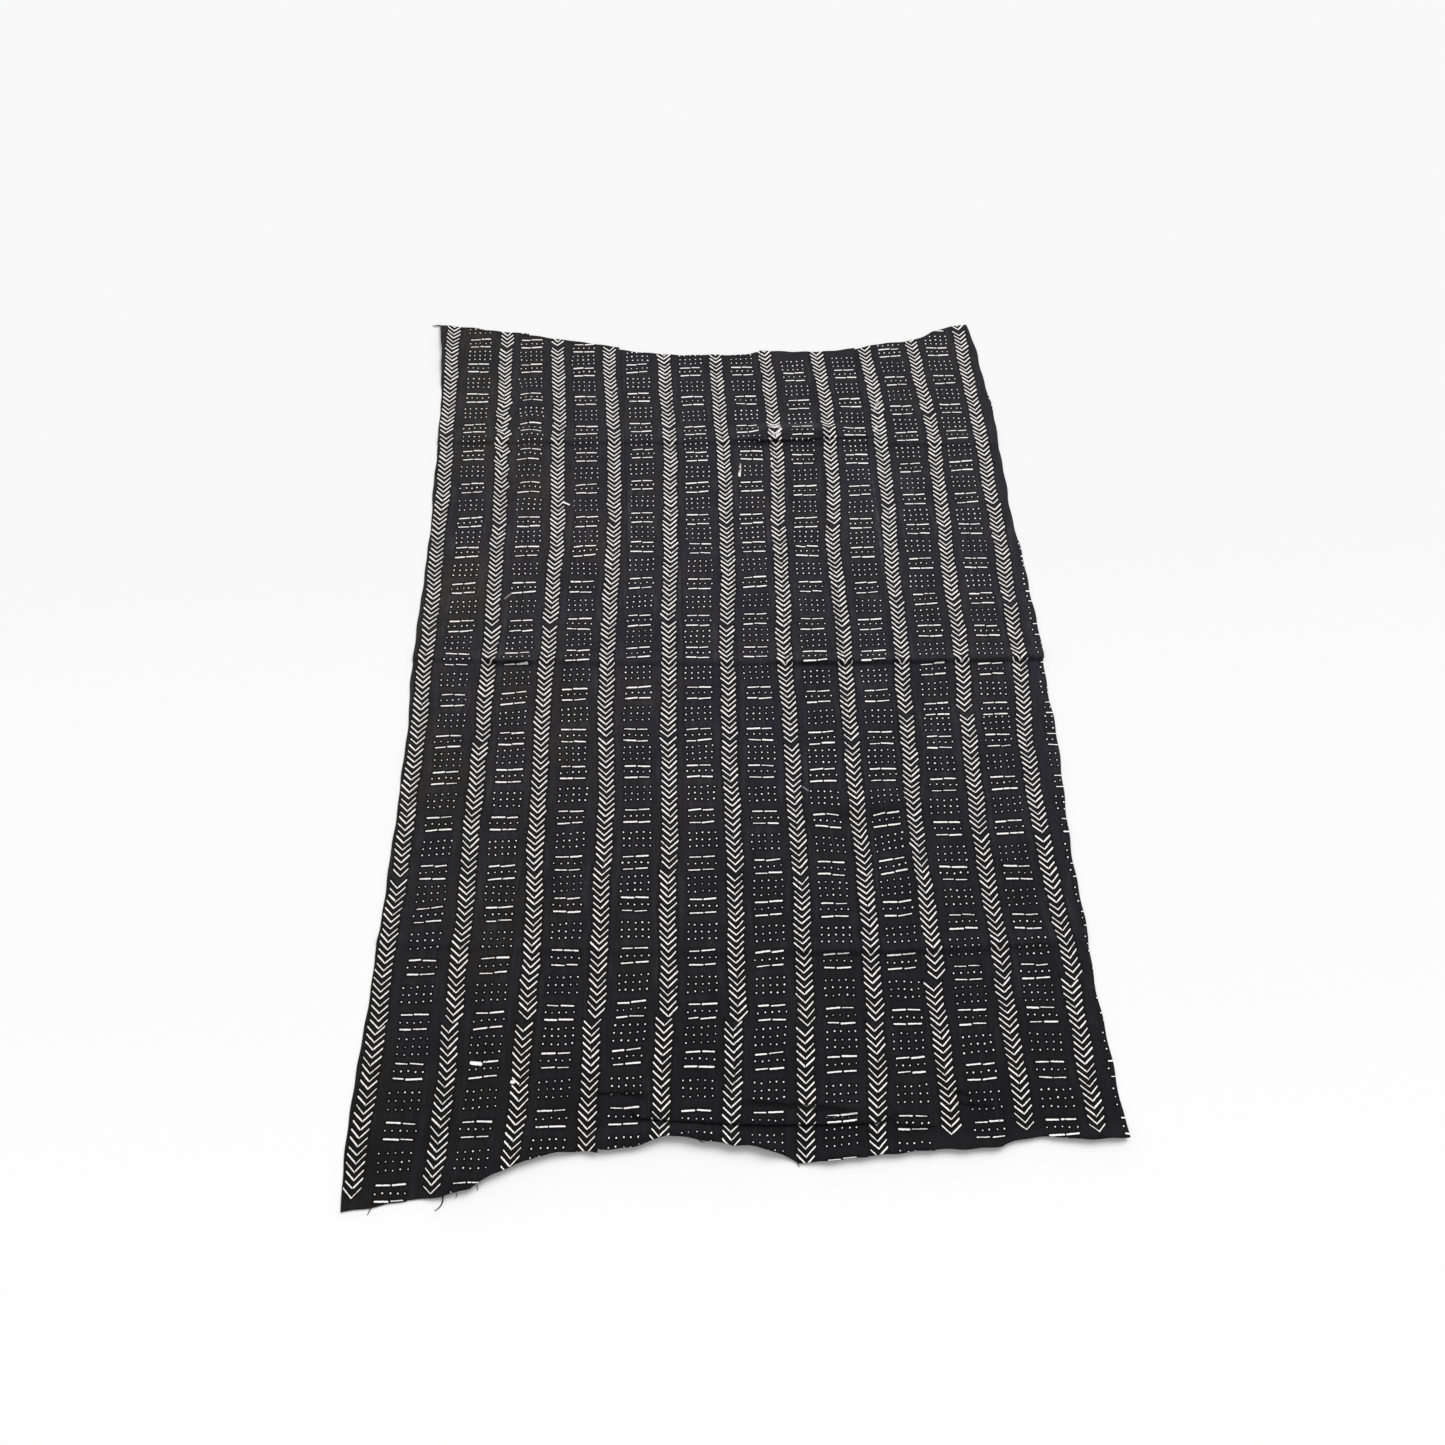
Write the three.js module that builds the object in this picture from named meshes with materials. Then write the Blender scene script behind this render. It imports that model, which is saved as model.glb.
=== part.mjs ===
// A mud cloth: twelve narrow hand-woven cotton strips, sewn edge to edge, lying flat on the floor
// with the creases it was stored in and a tuck along its near end.
// Millimetres, +Z up. The origin is under the middle of the cloth, on the floor. +X runs across
// the strips and +Y along them, away from the near end. Every strip is a closed solid of its own.
import * as THREE from 'three';

// Driving sizes
const halfLength = 780; // the seams are given at -halfLength, 0 and +halfLength
const clothThickness = 2;
const seamThickness = 1.6; // the selvedges are drawn down where two strips are sewn together
const seamGap = 0.3;
const cellsAcross = 3;

// Where each seam runs across the cloth. The first and last rows are its two outer edges, whose
// finer course is in outerEdges below.
const seams = [
  { near: -534, middle: -519, far: -542 },
  { near: -446, middle: -430, far: -450 },
  { near: -361, middle: -342, far: -361 },
  { near: -281, middle: -253, far: -275 },
  { near: -198, middle: -161, far: -182 },
  { near: -109, middle: -66, far: -92 },
  { near: -18, middle: 24, far: 2 },
  { near: 71, middle: 112, far: 98 },
  { near: 165, middle: 198, far: 194 },
  { near: 257, middle: 283, far: 290 },
  { near: 349, middle: 361, far: 372 },
  { near: 438, middle: 447, far: 448 },
  { near: 523, middle: 540, far: 520 },
];

// The two outer selvedges, from the near end to the far end
const outerEdges = [
  { along: -820, left: -534, right: 524 },
  { along: -700, left: -537, right: 521 },
  { along: -600, left: -531, right: 518 },
  { along: -450, left: -525, right: 521 },
  { along: -300, left: -520, right: 524 },
  { along: -200, left: -518, right: 534 },
  { along: -80, left: -517, right: 536 },
  { along: 0, left: -521, right: 540 },
  { along: 140, left: -519, right: 541 },
  { along: 300, left: -516, right: 536 },
  { along: 400, left: -519, right: 537 },
  { along: 540, left: -521, right: 540 },
  { along: 680, left: -527, right: 533 },
  { along: 740, left: -532, right: 529 },
  { along: 830, left: -542, right: 516 },
];

// Where each strip begins and ends, at its left side, middle and right side. Both ends were cut and
// hemmed by hand, so they step and wander.
const strips = [
  { name: 'strip_01', near: [-822, -819, -813], far: [822, 818, 808] },
  { name: 'strip_02', near: [-812, -809, -801], far: [808, 801, 794] },
  { name: 'strip_03', near: [-800, -780, -766], far: [790, 780, 772] },
  { name: 'strip_04', near: [-765, -761, -763], far: [772, 759, 750] },
  { name: 'strip_05', near: [-758, -757, -746], far: [744, 733, 727] },
  { name: 'strip_06', near: [-745, -751, -760], far: [726, 723, 722] },
  { name: 'strip_07', near: [-761, -767, -783], far: [722, 720, 727] },
  { name: 'strip_08', near: [-784, -785, -781], far: [730, 725, 724] },
  { name: 'strip_09', near: [-780, -778, -777], far: [724, 723, 731] },
  { name: 'strip_10', near: [-776, -776, -775], far: [727, 738, 741] },
  { name: 'strip_11', near: [-774, -765, -766], far: [742, 749, 768] },
  { name: 'strip_12', near: [-767, -771, -769], far: [769, 781, 788] },
];

// The folds that stand up from the floor. Each is a ridge along a line from one place to another,
// bowed in its middle, with the height of its crest, the width of its slope on the right-hand side
// (the near side, for one that runs across the cloth) and on the left, and a fade at both ends.
const folds = {
  hemTuck: { from: [-150, -720], to: [290, -744], bow: -3, rise: 9, right: 9, left: 38, fade: 45 },
  liftedHem: { from: [-440, -812], to: [-190, -752], bow: 4, rise: 6, right: 40, left: 60, fade: 70 },
  nearCrease: { from: [-560, -455], to: [560, -492], bow: -18, rise: 2.5, right: 10, left: 22, fade: 1 },
  nearCreaseRight: { from: [60, -491], to: [490, -494], bow: -6, rise: 3, right: 10, left: 22, fade: 50 },
  slackSwell: { from: [130, -272], to: [345, -262], bow: 0, rise: 5, right: 22, left: 36, fade: 50 },
  seamTuck: { from: [266, -540], to: [277, -270], bow: 0, rise: 7, right: 26, left: 26, fade: 60 },
  middleCrease: { from: [-560, 34], to: [560, -3], bow: -11, rise: 3, right: 9, left: 22, fade: 1 },
  middleCreaseLeft: { from: [-410, 24], to: [-300, 18], bow: 0, rise: 5, right: 9, left: 22, fade: 28 },
  middleCreaseRight: { from: [70, 3], to: [600, -4], bow: -2, rise: 3.5, right: 9, left: 22, fade: 50 },
  puckeredSeam: { from: [-342, 300], to: [-350, 690], bow: 0, rise: 4, right: 28, left: 28, fade: 90 },
  farCrease: { from: [-560, 514], to: [560, 465], bow: 3, rise: 3, right: 10, left: 44, fade: 1 },
  farTuck: { from: [10, 492], to: [320, 479], bow: 1, rise: 9, right: 10, left: 44, fade: 55 },
  liftedCorner: { from: [-524, 640], to: [-548, 860], bow: 0, rise: 6, right: 45, left: 30, fade: 70 },
};

// The folds that give the solids their section lines, from the near end to the far end, each with
// the plain sections that lie before it, and the plain sections past the last one
const steppedFolds = [
  { fold: folds.hemTuck, plainBefore: 1 },
  { fold: folds.nearCrease, plainBefore: 2 },
  { fold: folds.slackSwell, plainBefore: 2 },
  { fold: folds.middleCrease, plainBefore: 2 },
  { fold: folds.farCrease, plainBefore: 4 },
];
const plainSectionsPastLast = 2;

// A parabola through the values at -1, 0 and 1
function parabola(near, middle, far, at) {
  return middle + 0.5 * (far - near) * at + (0.5 * (far + near) - middle) * at * at;
}

// A smooth curve through one column of a table whose rows are sorted by their along value
function curveThrough(rows, column, along) {
  const last = rows.length - 2;
  const next = rows.findIndex((row) => row.along > along);
  const i = next < 0 ? last : Math.min(Math.max(next - 1, 0), last);
  const slope = (k) => {
    const before = rows[Math.max(k - 1, 0)];
    const after = rows[Math.min(k + 1, rows.length - 1)];
    return (after[column] - before[column]) / (after.along - before.along);
  };
  const span = rows[i + 1].along - rows[i].along;
  const t = THREE.MathUtils.clamp((along - rows[i].along) / span, 0, 1);
  const [start, end] = [rows[i][column], rows[i + 1][column]];
  const bend = (1 - t) * slope(i) * span - t * slope(i + 1) * span + (2 * t - 1) * (end - start);
  return start + t * (end - start) + t * (1 - t) * bend;
}

function seamAt(index, along) {
  if (index === 0) return curveThrough(outerEdges, 'left', along);
  if (index === seams.length - 1) return curveThrough(outerEdges, 'right', along);
  const { near, middle, far } = seams[index];
  return parabola(near, middle, far, along / halfLength);
}

// The near-to-far place of a fold's line at a place across the cloth
function foldLineAt(fold, across) {
  const [[fromX, fromY], [toX, toY]] = [fold.from, fold.to];
  const share = (across - fromX) / (toX - fromX);
  const bow = share > 0 && share < 1 ? fold.bow * 4 * share * (1 - share) : 0;
  return fromY + share * (toY - fromY) + bow;
}

// How far one fold lifts the cloth at a point
function foldLift(fold, x, y) {
  const from = new THREE.Vector2(...fold.from);
  const line = new THREE.Vector2(...fold.to).sub(from);
  const length = line.length();
  const offset = new THREE.Vector2(x, y).sub(from);
  const along = offset.dot(line) / length;
  const share = THREE.MathUtils.clamp(along / length, 0, 1);
  const offLine = line.cross(offset) / length - fold.bow * 4 * share * (1 - share);
  const reach = Math.abs(offLine) / (offLine < 0 ? fold.right : fold.left);
  if (reach >= 1) return 0;
  const slope = 0.5 + 0.5 * Math.cos(Math.PI * reach);
  const fadeIn = THREE.MathUtils.smoothstep(along, 0, fold.fade);
  const fadeOut = THREE.MathUtils.smoothstep(length - along, 0, fold.fade);
  return fold.rise * slope * fadeIn * fadeOut;
}

function liftAt(x, y) {
  return Object.values(folds).reduce((lift, fold) => lift + foldLift(fold, x, y), 0);
}

// The places along the cloth, near to far, of every section at one place across it
function sectionsAt(across, nearEnd, farEnd) {
  const places = [nearEnd];
  steppedFolds.forEach(({ fold, plainBefore }) => {
    const line = foldLineAt(fold, across);
    const steps = [-fold.right, -fold.right / 2, 0, fold.left / 2, fold.left];
    addPlain(places, line + steps[0], plainBefore);
    places.push(...steps.map((step) => line + step));
  });
  addPlain(places, farEnd, plainSectionsPastLast);
  places.push(farEnd);
  return places;
}

function addPlain(places, until, count) {
  const from = places[places.length - 1];
  for (let i = 1; i <= count; i++) places.push(from + ((until - from) * i) / (count + 1));
}

// The corners of one strip's sections: for each section and place across, where it lies
function stripGrid(strip, index) {
  const columns = [];
  for (let cell = 0; cell <= cellsAcross; cell++) {
    const share = cell / cellsAcross;
    const nearEnd = parabola(...strip.near, 2 * share - 1);
    const farEnd = parabola(...strip.far, 2 * share - 1);
    const guide = THREE.MathUtils.lerp(seams[index].middle, seams[index + 1].middle, share);
    columns.push(sectionsAt(guide, nearEnd, farEnd).map((along) => {
      const left = seamAt(index, along) + (index > 0 ? seamGap / 2 : 0);
      const right = seamAt(index + 1, along) - (index < strips.length - 1 ? seamGap / 2 : 0);
      return new THREE.Vector2(THREE.MathUtils.lerp(left, right, share), along);
    }));
  }
  return columns;
}

// One strip: the same corners on its underside and its face, joined round the rim
function stripGeometry(strip, index) {
  const columns = stripGrid(strip, index);
  const sectionCount = columns[0].length;
  const positions = [];
  for (let section = 0; section < sectionCount; section++) {
    columns.forEach((column, cell) => {
      const { x, y } = column[section];
      const underside = liftAt(x, y);
      const atSeam = cell === 0 || cell === cellsAcross;
      positions.push(x, y, underside, x, y, underside + (atSeam ? seamThickness : clothThickness));
    });
  }
  const corner = (section, cell, face) => (section * (cellsAcross + 1) + cell) * 2 + face;
  const triangles = [];
  const quad = (a, b, c, d) => triangles.push(a, b, c, a, c, d);
  for (let s = 0; s < sectionCount - 1; s++) {
    for (let c = 0; c < cellsAcross; c++) {
      quad(corner(s, c, 1), corner(s, c + 1, 1), corner(s + 1, c + 1, 1), corner(s + 1, c, 1));
      quad(corner(s, c, 0), corner(s + 1, c, 0), corner(s + 1, c + 1, 0), corner(s, c + 1, 0));
    }
    quad(corner(s, 0, 0), corner(s, 0, 1), corner(s + 1, 0, 1), corner(s + 1, 0, 0));
    const right = cellsAcross;
    quad(corner(s, right, 0), corner(s + 1, right, 0), corner(s + 1, right, 1), corner(s, right, 1));
  }
  const far = sectionCount - 1;
  for (let c = 0; c < cellsAcross; c++) {
    quad(corner(0, c, 0), corner(0, c + 1, 0), corner(0, c + 1, 1), corner(0, c, 1));
    quad(corner(far, c, 0), corner(far, c, 1), corner(far, c + 1, 1), corner(far, c + 1, 0));
  }
  const geometry = new THREE.BufferGeometry();
  geometry.setAttribute('position', new THREE.Float32BufferAttribute(positions, 3));
  geometry.setIndex(triangles);
  geometry.computeVertexNormals();
  return geometry;
}

// Cotton dyed almost black with leaf dye and river mud; the strips took it a little differently
const dyeTones = { blueBlack: '#26262a', brownBlack: '#272523' };

function clothMaterial(tone) {
  return new THREE.MeshStandardMaterial({ color: dyeTones[tone], roughness: 0.95, metalness: 0 });
}

const mudCloth = new THREE.Group();
strips.forEach((strip, index) => {
  const tone = index < strips.length / 2 ? 'brownBlack' : 'blueBlack';
  const mesh = new THREE.Mesh(stripGeometry(strip, index), clothMaterial(tone));
  mesh.name = strip.name;
  mudCloth.add(mesh);
});

export default mudCloth;
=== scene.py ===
import functools
import math

import bpy
import numpy as np
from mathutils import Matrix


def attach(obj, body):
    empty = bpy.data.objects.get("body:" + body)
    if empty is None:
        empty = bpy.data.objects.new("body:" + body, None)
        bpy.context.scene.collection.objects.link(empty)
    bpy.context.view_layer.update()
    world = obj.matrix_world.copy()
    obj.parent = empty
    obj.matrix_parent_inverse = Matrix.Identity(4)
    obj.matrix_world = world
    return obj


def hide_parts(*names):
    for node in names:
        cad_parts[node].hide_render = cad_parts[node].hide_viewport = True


# A mud cloth: twelve hand-woven cotton strips, sewn edge to edge, dyed black and marked in cream.
# Everything is in the frame of the solids, +Z up. The tables are in millimetres.
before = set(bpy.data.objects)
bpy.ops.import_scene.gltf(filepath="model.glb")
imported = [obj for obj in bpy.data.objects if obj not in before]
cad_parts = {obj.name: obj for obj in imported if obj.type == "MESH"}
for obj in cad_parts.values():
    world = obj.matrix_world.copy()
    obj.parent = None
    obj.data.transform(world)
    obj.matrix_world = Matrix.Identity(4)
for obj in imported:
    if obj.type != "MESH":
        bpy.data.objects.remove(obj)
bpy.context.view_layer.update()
mm = 0.001
print("stage: frame loaded,", len(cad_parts), "strips")

cloth = {
    "thickness": 2.0,
    "seamThickness": 1.5,  # the selvedges are drawn down by the sewing
    "selvedgeReach": 4.0,
    "edgeThickness": 0.9,  # the rim is rounded off
    "rimReach": 0.8,
    "hemThickness": 3.0,  # the ends are rolled under and dyed stiff
    "hemWidth": 5.0,
    "hemRound": 2.0,
    "seamGap": 0.05,  # sewn so close that no floor shows between two strips
    "halfLength": 780,  # the seams are given at -halfLength, 0 and +halfLength
    "cellAcross": 4.0,
    "selvedgeCells": [0, 0.7, 2.4],
    "cellAlong": 4.2,
    "cellAtFold": 2.0,
    "cellAtLip": 1.0,
    "foldZone": 24,  # rows are closer this far on both sides of a fold
    "lipZone": 8,  # and closest this far on both sides of a tuck's lip
    "rowStep": 0.25,  # the rows lie at whole steps of this
    "endFade": 150,  # the slanted ends straighten out within this length
    "tuckLean": 5,  # a fold that leans this far gets painted shade on the cloth before it,
    "shadeStarts": (1, 3),  # from this far in front of its line
    "shadeEnds": (0.6, 3),  # to this far in front of its lip
    "leanPeaked": 1.5,  # only the crest of a fold leans fully
    "threadShift": 40,  # the threads of one strip don't go on in the next
    "takenUp": 20,  # length that the creases and tucks take up
    # small waves of the edges: how far, how long and where each starts
    "leftWaves": [(0.5, 9, 0), (0.7, 23, 0)],
    "rightWaves": [(0.9, 11, 0), (1.0, 27, 0)],
    "endWaves": [(0.7, 7, 0), (0.8, 19, 1)],
    "endWaveReach": 12,
}

# Hand sewing gathers the cloth beside each seam
pucker = {
    "height": 0.5,
    "pitch": 31,
    "reach": 13,
    "stray": 0.8,  # how far the gathers leave their even pitch
    "strayRun": 83,
    "weaker": 0.45,  # by how much they are weaker in places
    "weakerRun": 170,
    "perSeam": (1.7, 1, 2.3),  # each seam starts elsewhere in each of these waves
}

# Slow unevenness of cloth that was folded and shaken out: lengths of the waves across and along it
swell = {
    "height": 1.1,
    "across": 61,
    "acrossBend": 1.3,
    "acrossBendRun": 147,
    "along": 93,
    "alongBend": 0.9,
    "alongBendRun": 118,
    "slowAcross": 171,
    "slowAlong": 228,
    "slowStart": (0.7, -0.4),
    "slowShare": 0.55,
    "peaked": 1.3,
}


def table(columns, *rows):
    # rows with named columns
    return [dict(zip(columns.split(), row)) for row in rows]


# Where each seam runs across the cloth. The first and last are the outer edges, whose finer course
# is in outerEdges.
seams = table(
    "near middle far",
    (-534, -519, -542),
    (-446, -430, -450),
    (-361, -342, -361),
    (-281, -253, -275),
    (-198, -161, -182),
    (-109, -66, -92),
    (-18, 24, 2),
    (71, 112, 98),
    (165, 198, 194),
    (257, 283, 290),
    (349, 361, 372),
    (438, 447, 448),
    (523, 540, 520),
)

# The two outer selvedges, from the near end to the far end
outerEdges = {
    "along": [-820, -700, -600, -450, -300, -200, -80, 0, 140, 300, 400, 540, 680, 740, 830],
    "left": [-534, -537, -531, -525, -520, -518, -517, -521, -519, -516, -519, -521, -527, -532, -542],
    "right": [524, 521, 518, 521, 524, 534, 536, 540, 541, 536, 537, 540, 533, 529, 516],
}

# Where each strip begins and ends, at its left side, middle and right side
strips = table(
    "name near far",
    ("strip_01", [-822, -819, -813], [822, 818, 808]),
    ("strip_02", [-812, -809, -801], [808, 801, 794]),
    ("strip_03", [-800, -780, -766], [790, 780, 772]),
    ("strip_04", [-765, -761, -763], [772, 759, 750]),
    ("strip_05", [-758, -757, -746], [744, 733, 727]),
    ("strip_06", [-745, -751, -760], [726, 723, 722]),
    ("strip_07", [-761, -767, -783], [722, 720, 727]),
    ("strip_08", [-784, -785, -781], [730, 725, 724]),
    ("strip_09", [-780, -778, -777], [724, 723, 731]),
    ("strip_10", [-776, -776, -775], [727, 738, 741]),
    ("strip_11", [-774, -765, -766], [742, 749, 768]),
    ("strip_12", [-767, -771, -769], [769, 781, 788]),
)


def fold(start, end, bow, rise, right, left, fade, lean=0.0, hidden=0.0, endFade=None):
    # A ridge from start to end, bowed in its middle; right is the near side of one that runs across.
    # Its crest leans to the near end, and a tuck hides some of the cloth, with its marks.
    return {"start": start, "end": end, "bow": bow, "rise": rise, "right": right, "left": left,
            "fade": fade, "endFade": endFade or fade, "lean": lean, "hidden": hidden}


# The main folds, which the solids have too
folds = {
    "hemTuck": fold((-160, -704), (222, -723), -7, 4.4, 5, 38, 20, lean=14, endFade=40),
    "liftedHem": fold((-440, -812), (-190, -752), 4, 9, 40, 60, 70),
    "nearCrease": fold((-560, -455), (560, -492), -18, 2.5, 10, 22, 1),
    "nearCreaseRight": fold((60, -491), (490, -494), -6, 3, 10, 22, 50, lean=2),
    "slackSwell": fold((130, -272), (345, -262), 0, 5, 22, 36, 50),
    "seamTuck": fold((266, -540), (277, -270), 0, 7, 26, 26, 60),
    "middleCrease": fold((-560, 34), (560, -3), -11, 3, 9, 22, 1),
    "middleCreaseLeft": fold((-410, 24), (-300, 18), 0, 5, 9, 22, 28, lean=4),
    "middleCreaseRight": fold((70, 3), (600, -4), -2, 3.5, 9, 22, 50, lean=3),
    "puckeredSeam": fold((-342, 300), (-350, 690), 0, 4, 28, 28, 90),
    "farCrease": fold((-560, 514), (560, 465), 3, 3, 10, 44, 1),
    "farTuck": fold((10, 495), (330, 493), 0, 3.5, 5, 40, 60, lean=3),
    "liftedCorner": fold((-524, 640), (-548, 860), 0, 6, 45, 30, 70),
}

# Finer creases and wrinkles, the lips and backs of the tucks, and the raised near edge
wrinkles = {
    "leftHemWrinkle": fold((-212, -680), (-118, -684), 2, 2.6, 4, 16, 25, lean=6.5),
    "longHemWrinkle": fold((-520, -690), (-215, -684), -2, 0.8, 6, 16, 60),
    "middleHemWrinkle": fold((-20, -694), (176, -709.5), 1, 2.0, 4, 14, 45, lean=5),
    "hemTuckHides": fold((-142, -705), (214, -723), -7, 0, 5, 38, 14, hidden=10),
    "hemGather": fold((102, -714), (171, -717), 0, 1.6, 2.5, 16, 11, lean=1, hidden=13),
    "hemTuckEnd": fold((200, -737), (272, -741), 0, 1.4, 4, 14, 14, lean=5, hidden=3),
    "rightHemWrinkle": fold((286, -694), (326, -702), 0, 2.2, 4, 14, 12, lean=5),
    "rightHemWrinkleNear": fold((290, -711), (350, -717), 0, 2.2, 4, 14, 16, lean=5),
    "cornerWrinkle": fold((452, -719), (492, -721), 0, 1.4, 5, 10, 14),
    "shortWrinkle": fold((112, 241), (152, 239), 1, 2.2, 5, 12, 12, lean=1.5),
    "slackWrinkle": fold((300, -228), (352, -244), -3, 2.0, 6, 14, 16),
    "slackWrinkleLeft": fold((118, -300), (212, -330), 6, 1.6, 10, 18, 30),
    "sideWrinkle": fold((282, -420), (262, -250), 3, 1.8, 8, 8, 40),
    "leftStoreCrease": fold((-250, 512), (-228, -470), 6, 0.7, 8, 8, 120),
    "rightStoreCrease": fold((292, 660), (288, -200), 2, 0.9, 8, 10, 120),
    "farTuckLip": fold((60, 495), (215, 494), 0, 1.5, 5, 30, 40, lean=5),
    "farTuckBack": fold((60, 514), (266, 511), 1, 6.5, 20, 25, 45),
    "raisedNearEdge": fold((-230, -757), (75, -783), 23, 11, 30, 24, 45),
    "raisedNearEdgeRight": fold((60, -786), (560, -768), 0, 7, 30, 24, 60),
    "farWrinkle": fold((-285, 498), (-205, 488), 1, 1.5, 6, 16, 22),
    "seamWrinkle": fold((-420, 330), (-404, 660), -6, 1.6, 9, 9, 60),
}
allFolds = [*folds.values(), *wrinkles.values()]


def smoothstep(value, start, end):
    t = np.clip((value - start) / (end - start), 0, 1)
    return t * t * (3 - 2 * t)


def parabola(near, middle, far, at):
    return middle + 0.5 * (far - near) * at + (0.5 * (far + near) - middle) * at * at


def curveThrough(stations, values, at):
    # a smooth curve through the values of one table column
    stations, values = np.asarray(stations, float), np.asarray(values, float)
    before = np.maximum(np.arange(len(stations)) - 1, 0)
    after = np.minimum(np.arange(len(stations)) + 1, len(stations) - 1)
    slopes = (values[after] - values[before]) / (stations[after] - stations[before])
    at = np.clip(at, stations[0], stations[-1])
    i = np.clip(np.searchsorted(stations, at, side="right") - 1, 0, len(stations) - 2)
    span = stations[i + 1] - stations[i]
    t = (at - stations[i]) / span
    rise = values[i + 1] - values[i]
    bend = (1 - t) * slopes[i] * span - t * slopes[i + 1] * span + (2 * t - 1) * rise
    return values[i] + t * rise + t * (1 - t) * bend


def seamAt(index, along):
    if index == 0:
        return curveThrough(outerEdges["along"], outerEdges["left"], along)
    if index == len(seams) - 1:
        return curveThrough(outerEdges["along"], outerEdges["right"], along)
    row = seams[index]
    return parabola(row["near"], row["middle"], row["far"], along / cloth["halfLength"])


def foldAlong(shape, across):
    # where a fold's line lies along the cloth, at a place across it
    share = (across - shape["start"][0]) / (shape["end"][0] - shape["start"][0])
    bow = shape["bow"] * 4 * share * (1 - share) * ((share > 0) & (share < 1))
    return shape["start"][1] + share * (shape["end"][1] - shape["start"][1]) + bow


def foldPlace(shape, x, y):
    # the distance from a fold's line, negative on its right, and how much of the fold is there
    line = np.subtract(shape["end"], shape["start"])
    length = np.hypot(*line)
    dx, dy = x - shape["start"][0], y - shape["start"][1]
    along = (dx * line[0] + dy * line[1]) / length
    share = np.clip(along / length, 0, 1)
    off = (line[0] * dy - line[1] * dx) / length - shape["bow"] * 4 * share * (1 - share)
    fades = smoothstep(along, 0, shape["fade"]) * smoothstep(length - along, 0, shape["endFade"])
    return off, fades


def foldShare(shape, x, y):
    # 1 on the crest of a fold, 0 off it
    off, fades = foldPlace(shape, x, y)
    reach = np.clip(np.abs(off) / np.where(off < 0, shape["right"], shape["left"]), 0, 1)
    return (0.5 + 0.5 * np.cos(np.pi * reach)) * fades


def seamDistance(x, y):
    # the distance to the nearest seam, and that seam's number
    gaps = np.stack([np.abs(x - seamAt(i, y)) for i in range(1, len(seams) - 1)])
    return gaps.min(axis=0), gaps.argmin(axis=0) + 1


def puckerLift(x, y):
    # short gathers beside the sewing, each seam with its own rhythm
    gap, number = seamDistance(x, y)
    gatherStart, strayStart, weakerStart = [number * shift for shift in pucker["perSeam"]]
    stray = pucker["stray"] * np.sin(y / pucker["strayRun"] + strayStart)
    wave = 0.5 + 0.5 * np.sin(2 * np.pi * (y / pucker["pitch"] + gatherStart + stray))
    weaker = pucker["weaker"] * (1 - np.sin(y / pucker["weakerRun"] + weakerStart))
    return pucker["height"] * wave * (1 - weaker) * np.exp(-(gap / pucker["reach"]) ** 2)


def swellLift(x, y):
    # slow hollows and swells, never below the floor
    across = x / swell["across"] + swell["acrossBend"] * np.sin(y / swell["acrossBendRun"])
    along = y / swell["along"] + swell["alongBend"] * np.sin(x / swell["alongBendRun"])
    slowX, slowY = x / swell["slowAcross"], y / swell["slowAlong"]
    slow = np.sin(slowX + swell["slowStart"][0]) * np.sin(slowY + swell["slowStart"][1])
    mixed = (1 - swell["slowShare"]) * np.sin(across) * np.sin(along) + swell["slowShare"] * slow
    return swell["height"] * np.maximum(mixed, 0) ** swell["peaked"]


def clothPoint(x, y):
    # the middle surface of the cloth over a point of the floor
    height = swellLift(x, y) + puckerLift(x, y)
    lean = np.zeros_like(height)
    for shape in allFolds:
        share = foldShare(shape, x, y)
        height = height + shape["rise"] * share
        lean = lean + shape["lean"] * share ** cloth["leanPeaked"]
    return np.stack([x, y - lean, height + 0.5 * cloth["thickness"]], axis=-1)


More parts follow.
